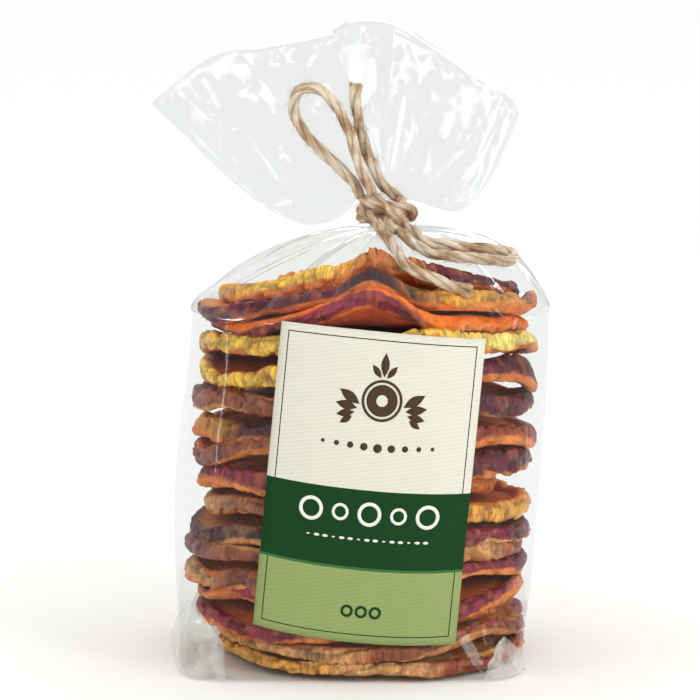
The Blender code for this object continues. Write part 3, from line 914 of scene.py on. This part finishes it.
def film_rows():
    """Closed rows of points from the base to the mouth, with folds and creases."""
    even = [2 * math.pi * (k + 0.5) / FILM_COLUMNS for k in range(FILM_COLUMNS)]
    angles = [a + 0.25 * math.sin(2 * a) for a in even]
    rows = []
    for step in range(BASE_ROWS):
        turn = step * math.pi / 2 / (BASE_ROWS - 1)
        inset = BASE_FOLD * (1 - math.sin(turn))
        lift = BASE_FOLD * (1 - math.cos(turn))
        rows.append([section_point(0.0, a, inset) + Vector((0, 0, lift)) for a in angles])
    for step in range(1, BODY_ROWS + 1):
        height = BASE_FOLD + (SHOULDER_HEIGHT - BASE_FOLD) * step / BODY_ROWS
        row = []
        for a in angles:
            place = section_point(height, a)
            outward = Vector((math.cos(a), math.sin(a), 0.0))
            pull = math.sin(math.pi * min(1.0, height / SHOULDER_HEIGHT)) * 0.3
            fold = kinks(a / (2 * math.pi) + 0.0006 * height, 31, 1) * (0.45 - pull)
            from_middle = abs(height / SHOULDER_HEIGHT - 0.5) * 2
            fold += kinks(a / (2 * math.pi) - 0.0016 * height, 17, 2) * 0.35 * from_middle
            row.append(place + outward * (fold + dents(CREASES, place, math.sin(a)) - 0.1))
        rows.append(row)
    for step in range(1, DOME_ROWS + 1):
        rise = step / DOME_ROWS
        row = []
        for a in angles:
            place = dome_point(a, rise)
            turns = a / (2 * math.pi)
            fold = 1.9 * kinks(turns + 0.02 * rise, 31, 3) + 1.2 * kinks(turns - 0.03 * rise, 73, 4)
            place.z += fold * math.sin(math.pi * rise) ** 1.2 * (1.0 - 0.45 * rise)
            place.y -= dents(CREASES, place, math.sin(a))
            place.x += 1.5 * max(0.0, math.cos(a)) * math.sin(math.pi * rise**0.7)
            row.append(place)
        rows.append(row)
    for step in range(1, NECK_ROWS):
        height = NECK_START + (NECK_END - NECK_START) * step / NECK_ROWS
        rows.append([neck_point(a, height, NECK_RADIUS) for a in angles])
    for step in range(FAN_ROWS):
        spread = step / (FAN_ROWS - 1)
        row = []
        for a in angles:
            place = fan_point(a, spread)
            turns = a / (2 * math.pi)
            reach = spread * (1 - 0.3 * spread)
            fold = 2.4 * kinks(turns, 24, 5)
            fold += 1.6 * kinks(turns + 0.01 * spread, 61, 6) * (1 - 0.5 * spread)
            fold += 0.7 * kinks(turns + spread * 0.4, 13, 7) * spread
            outward = math.copysign(1.0, math.sin(a))
            place.y += fold * reach + outward * dents(FAN_CREASES, place, math.sin(a))
            row.append(place)
        rows.append(row)
    return rows


def wall_through(rows, floored):
    """A bmesh wall through closed rows of points, each row extruded from the one before."""
    mesh = bmesh.new()
    loop = [mesh.verts.new(point * MM) for point in rows[0]]
    edges = [mesh.edges.new(pair) for pair in zip(loop, loop[1:] + loop[:1])]
    if floored:
        bmesh.ops.contextual_create(mesh, geom=edges)
    for row in rows[1:]:
        made = bmesh.ops.extrude_edge_only(mesh, edges=edges)["geom"]
        fresh = {item for item in made if isinstance(item, bmesh.types.BMVert)}
        loop = [next(e.other_vert(v) for e in v.link_edges if e.other_vert(v) in fresh) for v in loop]
        edges = [e for e in made if isinstance(e, bmesh.types.BMEdge) and set(e.verts) <= fresh]
        for vert, point in zip(loop, row):
            vert.co = point * MM
    return mesh


# %% Clear film finish
film, tree, shader, output = new_material("clear_polypropylene_film")
tree.nodes.remove(shader)
here = add_node(tree, "TexCoord").outputs["Object"]
crinkle = add_node(tree, "TexNoise", {"Vector": here},
                   {"Scale": 1 / (14 * MM), "Detail": 2.0, "Distortion": 0.6})
bump = add_node(tree, "Bump", {"Height": crinkle.outputs["Fac"]}, {"Strength": 0.4, "Distance": 0.12 * MM})
clear = add_node(tree, "BsdfTransparent", values={"Color": (0.957, 0.964, 0.962, 1.0)})
shine = add_node(tree, "BsdfGlossy", {"Normal": bump.outputs[0]},
                 {"Color": (1, 1, 1, 1), "Roughness": 0.07})
facing = add_node(tree, "LayerWeight", {"Normal": bump.outputs[0]}, {"Blend": 0.5}).outputs["Facing"]
steep = add_node(tree, "Math", {0: facing}, {1: 5.0}, operation="POWER")
amount = add_node(tree, "MapRange", {"Value": steep.outputs[0]}, {"To Min": 0.008, "To Max": 0.32})
sheen = add_node(tree, "MixShader", {0: amount.outputs[0], 1: clear.outputs[0], 2: shine.outputs[0]})
tree.links.new(sheen.outputs[0], output.inputs["Surface"])


def make_film(name, rows, floored):
    """A piece of the bag's film, with a floor where it stands on the ground."""
    data = finish_mesh(wall_through(rows, floored), name)
    made = place_piece(name, data, [film], ("bag",))
    data.set_sharp_from_angle(angle=FACET_ANGLE)
    give_wall(made, FILM_THICKNESS)
    print(name, len(data.polygons), "faces")
    return made


rows = film_rows()
tie = len(rows) - FAN_ROWS
body_film = make_film("film_body", rows[:tie + 1], True)
fan_film = make_film("film_fan", rows[tie:], False)

# %% [markdown]
# A block bottom is folded like a parcel, so a flap of spare film stands up at each corner. Each flap is a
# pointed grid laid round the corner, a little off the film behind it, and crumpled.

# %% Corner flaps
milky, tree, shader, output = new_material("crumpled_polypropylene_film")
shader.inputs["Base Color"].default_value = linear("F4F1EA")
shader.inputs["Roughness"].default_value = 0.3
here = add_node(tree, "TexCoord").outputs["Object"]
cloud = add_node(tree, "TexNoise", {"Vector": here},
                 {"Scale": 1 / (7 * MM), "Detail": 4.0, "Roughness": 0.6})
haze = add_node(tree, "MapRange", {"Value": cloud.outputs["Fac"]},
                {"From Min": 0.4, "From Max": 0.62, "To Min": 0.03, "To Max": 0.3})
clear = add_node(tree, "BsdfTransparent", values={"Color": (0.957, 0.964, 0.962, 1.0)})
folded = add_node(tree, "MixShader", {0: haze.outputs[0], 1: clear.outputs[0], 2: shader.outputs[0]})
tree.links.new(folded.outputs[0], output.inputs["Surface"])


def make_flap(name, corner, spread, tall, seed):
    """A pointed flap of film round a corner of the base."""
    mesh = bmesh.new()
    bmesh.ops.create_grid(mesh, x_segments=26, y_segments=16, size=1.0)
    for vert in mesh.verts:
        across, up = vert.co.x, (vert.co.y + 1) / 2
        height = 0.5 + up * tall * (1 - abs(across)) ** 0.8
        crumple = kinks(across * 0.37 + up * 0.31, 17, seed) + kinks(across * 0.5 - up * 0.6, 13, seed + 1)
        lift = 0.35 + 0.35 * up + 0.45 * (crumple + 1.2) * up
        vert.co = section_point(height, math.radians(corner + spread * across), -lift) * MM
    data = finish_mesh(mesh, name)
    flap = place_piece(name, data, [milky], ("bag",))
    data.set_sharp_from_angle(angle=FACET_ANGLE)
    give_wall(flap, FILM_THICKNESS)
    print(name, len(data.polygons), "faces")


for name, corner, spread, tall in (("front_left", 216, 34, 17.0), ("front_right", 317, 22, 9.0),
                                   ("back_left", 134, 24, 14.0), ("back_right", 45, 24, 14.0)):
    make_flap("flap_" + name, corner, spread, tall, corner)

# %% [markdown]
# The label is uncoated laid paper, printed in a cream field, a dark green band and a light green field,
# with a thin frame line inside both fields. Its fields are faces of their own, cut along the printed
# edges, so they stay sharp at any size.

# %% Label
LABEL_WIDTH = 46.2
LABEL_HEIGHT = 68.8
LABEL_X = 4.3
LABEL_Z = 46.3
LABEL_TURN = math.radians(-5.6)
LABEL_THICKNESS = 0.3
TOUCH_GAP = 0.45
BAND_TOP = LABEL_HEIGHT * (0.5 - 0.505)
BAND_BOTTOM = LABEL_HEIGHT * (0.5 - 0.755)
STRIP = 0.6
LABEL_BOW = 1.6
LABEL_DROP = 0.8
FRAME_INSET = 1.7
FRAME_LINE = 0.25


def front_of_body(x, height):
    """Y of the body's front at a place."""
    middle, half_width, half_depth, square = smooth_row(BODY_SECTIONS, height)
    return -half_depth * (1 - abs((x - middle) / half_width) ** square) ** (1 / square)


def on_label(x, z, lift):
    """The place of a point of the flat label once it is stuck on the bag."""
    place_x = LABEL_X + x * math.cos(LABEL_TURN) - z * math.sin(LABEL_TURN)
    place_z = LABEL_Z + x * math.sin(LABEL_TURN) + z * math.cos(LABEL_TURN)
    bow = LABEL_BOW * (1 - (2 * x / LABEL_WIDTH) ** 2)
    place_z -= (bow + LABEL_DROP) * (0.5 - z / LABEL_HEIGHT)
    return Vector((place_x, front_of_body(place_x, place_z) - TOUCH_GAP - LABEL_THICKNESS - lift, place_z))


LAID_LINES = 0.9


def paper_finish(name, ink):
    """Printed laid paper: fine lines of the mould, and a soft cloudiness."""
    made, tree, shader, _ = new_material(name)
    here = add_node(tree, "TexCoord").outputs["Object"]
    turned = add_node(tree, "Mapping", {"Vector": here}, {"Rotation": (0.0, -LABEL_TURN, 0.0)}).outputs[0]
    laid = add_node(tree, "TexWave", {"Vector": turned},
                    {"Scale": math.pi / 10 / (LAID_LINES * MM), "Distortion": 1.2, "Detail": 2.0,
                     "Detail Scale": 1.5}, wave_type="BANDS", bands_direction="Z")
    cloud = add_node(tree, "TexNoise", {"Vector": here}, {"Scale": 1 / (5 * MM), "Detail": 4.0})
    line = add_node(tree, "MapRange", {"Value": laid.outputs["Fac"]}, {"To Min": 0.945, "To Max": 1.02})
    soft = add_node(tree, "MapRange", {"Value": cloud.outputs["Fac"]}, {"To Min": 0.96, "To Max": 1.03})
    both = add_node(tree, "Math", {0: line.outputs[0], 1: soft.outputs[0]}, operation="MULTIPLY")
    shaded = add_node(tree, "VectorMath", {"Scale": both.outputs[0]}, {0: linear(ink)[:3]},
                      operation="SCALE")
    tree.links.new(shaded.outputs[0], shader.inputs["Base Color"])
    shader.inputs["Roughness"].default_value = 0.72
    shader.inputs["Specular IOR Level"].default_value = 0.1
    bump = add_node(tree, "Bump", {"Height": laid.outputs["Fac"]},
                    {"Strength": 0.25, "Distance": 0.08 * MM})
    tree.links.new(bump.outputs[0], shader.inputs["Normal"])
    return made


INK_TONES = (
    ("cream", "DAD7C8"), ("dark_green", "163E1C"), ("mid_green", "3C6E3C"), ("light_green", "8F9F64"),
    ("frame_line", "2A3320"), ("brown_print", "4A3A28"), ("white_print", "E9EAE0"),
)
INKS = [paper_finish("laid_paper_" + name, ink) for name, ink in INK_TONES]
CREAM, DARK, MID, LIGHT, LINE, BROWN, WHITE = range(len(INKS))

sheet = bmesh.new()
bmesh.ops.create_grid(sheet, x_segments=26, y_segments=38, size=1.0)
for vert in sheet.verts:
    vert.co = (vert.co.x * LABEL_WIDTH / 2, 0.0, vert.co.y * LABEL_HEIGHT / 2)
side = LABEL_WIDTH / 2 - FRAME_INSET
top = LABEL_HEIGHT / 2 - FRAME_INSET
for cut in (BAND_TOP, BAND_BOTTOM, BAND_BOTTOM - STRIP, top, top - FRAME_LINE, -top, -top + FRAME_LINE):
    everything = sheet.verts[:] + sheet.edges[:] + sheet.faces[:]
    bmesh.ops.bisect_plane(sheet, geom=everything, plane_co=(0, 0, cut), plane_no=(0, 0, 1))
for cut in (side, side - FRAME_LINE, -side, -side + FRAME_LINE):
    everything = sheet.verts[:] + sheet.edges[:] + sheet.faces[:]
    bmesh.ops.bisect_plane(sheet, geom=everything, plane_co=(cut, 0, 0), plane_no=(1, 0, 0))
for face in sheet.faces:
    middle = face.calc_center_median()
    across, up = abs(middle.x), middle.z
    if up > BAND_TOP:
        face.material_index = CREAM
    elif up > BAND_BOTTOM:
        face.material_index = DARK
    elif up > BAND_BOTTOM - STRIP:
        face.material_index = MID
    else:
        face.material_index = LIGHT
    on_side = side - FRAME_LINE < across < side
    on_end = top - FRAME_LINE < abs(up) < top
    on_frame = (on_side and abs(up) < top) or (on_end and across < side)
    if face.material_index in (CREAM, LIGHT) and on_frame:
        face.material_index = LINE
for vert in sheet.verts:
    vert.co = on_label(vert.co.x, vert.co.z, 0.0) * MM
inner = bmesh.ops.extrude_face_region(sheet, geom=sheet.faces[:])["geom"]
for item in inner:
    if isinstance(item, bmesh.types.BMVert):
        item.co.y += LABEL_THICKNESS * MM
    elif isinstance(item, bmesh.types.BMFace):
        item.material_index = CREAM
data = finish_mesh(sheet, "label_sheet")
place_piece("label_sheet", data, INKS, ("label",))
print("label:", len(data.polygons), "faces")

# %% [markdown]
# The print: a ring between leaves with a row of dots under it, and plain rows of rings and dots in both
# greens. Each motif is a thin flat solid, a twentieth of a millimetre thick, bent onto the paper point by
# point, so its edge stays sharp at any size.

# %% Printed ornament
INK = 0.05


def ring_motif(mesh, x, z, outside, inside, squash=1.0):
    """A flat ring round a place of the label: two circles and the band between them."""
    made = []
    for radius in (outside, inside):
        circle = bmesh.ops.create_circle(mesh, segments=36, radius=radius)["verts"]
        for vert in circle:
            vert.co = (x + vert.co.x, 0.0, z + vert.co.y * squash)
        made += list({edge for vert in circle for edge in vert.link_edges})
    bmesh.ops.bridge_loops(mesh, edges=made)


def leaf_motif(mesh, x, z, length, width, turn):
    """A flat pointed leaf that starts at a place and lies at an angle."""
    angle = math.radians(turn)
    leaf = bmesh.ops.create_circle(mesh, segments=24, radius=1.0, cap_ends=True)["verts"]
    for vert in leaf:
        along = (vert.co.x + 1) / 2
        aside = vert.co.y * width / 2 * math.sin(math.pi * along) ** 0.7
        there = along * length
        vert.co = (x + there * math.cos(angle) - aside * math.sin(angle), 0.0,
                   z + there * math.sin(angle) + aside * math.cos(angle))


def disc_motif(mesh, x, z, radius, squash=1.0):
    """A flat disc at a place of the label."""
    for vert in bmesh.ops.create_circle(mesh, segments=20, radius=radius, cap_ends=True)["verts"]:
        vert.co = (x + vert.co.x, 0.0, z + vert.co.y * squash)


def print_on_label(name, mesh, ink):
    """Bend the flat motifs onto the paper, give them the ink's thickness and place them."""
    bmesh.ops.triangulate(mesh, faces=[face for face in mesh.faces if len(face.verts) > 4])
    bmesh.ops.subdivide_edges(mesh, edges=[edge for edge in mesh.edges if edge.calc_length() > 2.0], cuts=3)
    for vert in mesh.verts:
        vert.co = on_label(vert.co.x, vert.co.z, 0.01) * MM
    outer = bmesh.ops.extrude_face_region(mesh, geom=mesh.faces[:])["geom"]
    for vert in (item for item in outer if isinstance(item, bmesh.types.BMVert)):
        vert.co.y -= INK * MM
    data = finish_mesh(mesh, name)
    place_piece(name, data, [INKS[ink]], ("label",))
    print(name, len(data.polygons), "faces")


ORNAMENT_X = 1.0
ornament = bmesh.new()
ring_motif(ornament, ORNAMENT_X, 19.5, 4.6, 4.0)
ring_motif(ornament, ORNAMENT_X, 19.5, 3.5, 1.3)
for side_sign in (-1, 1):
    for step, (reach, width) in enumerate(((5.6, 2.2), (5.0, 2.0), (4.2, 1.7), (3.2, 1.4))):
        turn = 90 - side_sign * (58 + 22 * step)
        leaf_x = ORNAMENT_X + side_sign * (4.9 + 0.5 * step)
        leaf_motif(ornament, leaf_x, 18.4 - 0.9 * step, reach, width, turn)
TOP_LEAVES = ((1.0, 24.6, 5.4, 1.9, 90), (0.4, 24.4, 3.6, 1.4, 128), (1.6, 24.4, 3.6, 1.4, 52))
for x, z, reach, width, turn in TOP_LEAVES:
    leaf_motif(ornament, x, z, reach, width, turn)
for step in range(9):
    inner_steps = 4 - abs(step - 4)
    disc_motif(ornament, ORNAMENT_X + (step - 4) * 3.1, 9.6 - 0.14 * inner_steps, 0.42 + 0.14 * inner_steps)
print_on_label("print_brown", ornament, BROWN)

BAND_X = 0.6
band = bmesh.new()
for step in range(5):
    outside, inside = (1.9, 1.25) if step % 2 else (2.7, 1.9)
    ring_motif(band, (step - 2) * 6.6 + BAND_X, -5.6, outside, inside)
for step in range(15):
    disc_motif(band, (step - 7) * 1.9 + BAND_X, -11.3, 0.62 if step % 3 else 0.36, 0.5)
print_on_label("print_white", band, WHITE)

lower_rings = bmesh.new()
for step in (-1, 0, 1):
    ring_motif(lower_rings, step * 3.2 + 0.8, -27.4, 1.4, 0.8)
print_on_label("print_dark", lower_rings, DARK)

# %% [markdown]
# The studio: a pale floor under a sky that brightens upwards, a key light in front on the right and a
# weak fill in front on the left. Clear film shows itself mostly by the lights that it mirrors, so lights
# that reach only the film make its highlights and leave the rings as the other lights show them.

# %% Studio
FLOOR_DROP = 0.2
floor_mesh = bmesh.new()
bmesh.ops.create_grid(floor_mesh, x_segments=1, y_segments=1, size=14.0)
floor_data = finish_mesh(floor_mesh, "floor")
floor_finish, tree, shader, _ = new_material("pale_floor_paint")
shader.inputs["Base Color"].default_value = linear("FAFAF8")
shader.inputs["Roughness"].default_value = 0.9
floor_data.materials.append(floor_finish)
floor = bpy.data.objects.new("floor", floor_data)
floor.location.z = -FLOOR_DROP * MM
scene.collection.objects.link(floor)

world = bpy.data.worlds.new("studio")
world.use_nodes = True
tree = world.node_tree
direction = add_node(tree, "TexCoord").outputs["Generated"]
upward = add_node(tree, "SeparateXYZ", {0: direction}).outputs["Z"]
glow = add_node(tree, "MapRange", {"Value": upward},
                {"From Min": 0.0, "From Max": 0.8, "To Min": 0.25, "To Max": 1.27})
tree.links.new(glow.outputs[0], tree.nodes["Background"].inputs["Strength"])
tree.nodes["Background"].inputs["Color"].default_value = linear("FFFFFF")
scene.world = world


def soft_light(name, place, size, power, aim=(0.0, 0.0, 0.08), receivers=None):
    """A soft box that faces the bag. With receivers, it lights only the pieces of that collection."""
    data = bpy.data.lights.new(name, "AREA")
    data.shape = "RECTANGLE"
    data.size, data.size_y = size
    data.energy = power
    made = bpy.data.objects.new(name, data)
    made.location = place
    made.rotation_euler = (Vector(place) - Vector(aim)).to_track_quat("Z", "Y").to_euler()
    made.light_linking.receiver_collection = receivers
    made.visible_diffuse = receivers is None
    made.visible_camera = receivers is None
    scene.collection.objects.link(made)


soft_light("key", (0.80, -0.75, 0.28), (0.25, 0.5), 4.6)
soft_light("fill", (-0.85, -0.50, 0.30), (0.30, 0.5), 0.9)

# Tall strips of light round the front, by azimuth in degrees and width in metres, for the body's film
# and for the fan, whose folds need more of them. Each also mirrors one light behind the bag.
STRIP_DISTANCE = 0.75
STRIP_HEIGHT = 0.5
STRIP_LENGTH = 1.0
STRIP_POWER = 38
BACK_PLACE = (0.20, 0.90, 0.60)
BACK_POWER = 14.0
STRIPS = (
    (body_film, ((-84, 0.03), (70, 0.02), (84, 0.05))),
    (fan_film, ((-80, 0.08), (-60, 0.16), (-42, 0.10), (-27, 0.05), (24, 0.05), (42, 0.07), (66, 0.12))),
)
for piece, strips in STRIPS:
    mirrors = bpy.data.collections.new("mirrors_" + piece.name)
    mirrors.objects.link(piece)
    soft_light("back_" + piece.name, BACK_PLACE, (0.8, 0.4), BACK_POWER, receivers=mirrors)
    for azimuth, width in strips:
        turn = math.radians(azimuth)
        place = (STRIP_DISTANCE * math.sin(turn), -STRIP_DISTANCE * math.cos(turn), STRIP_HEIGHT)
        soft_light("strip_" + piece.name, place, (width, STRIP_LENGTH), STRIP_POWER * width,
                   (0.0, 0.0, STRIP_HEIGHT), mirrors)

scene.view_settings.view_transform = "Standard"
scene.cycles.transparent_max_bounces = 32
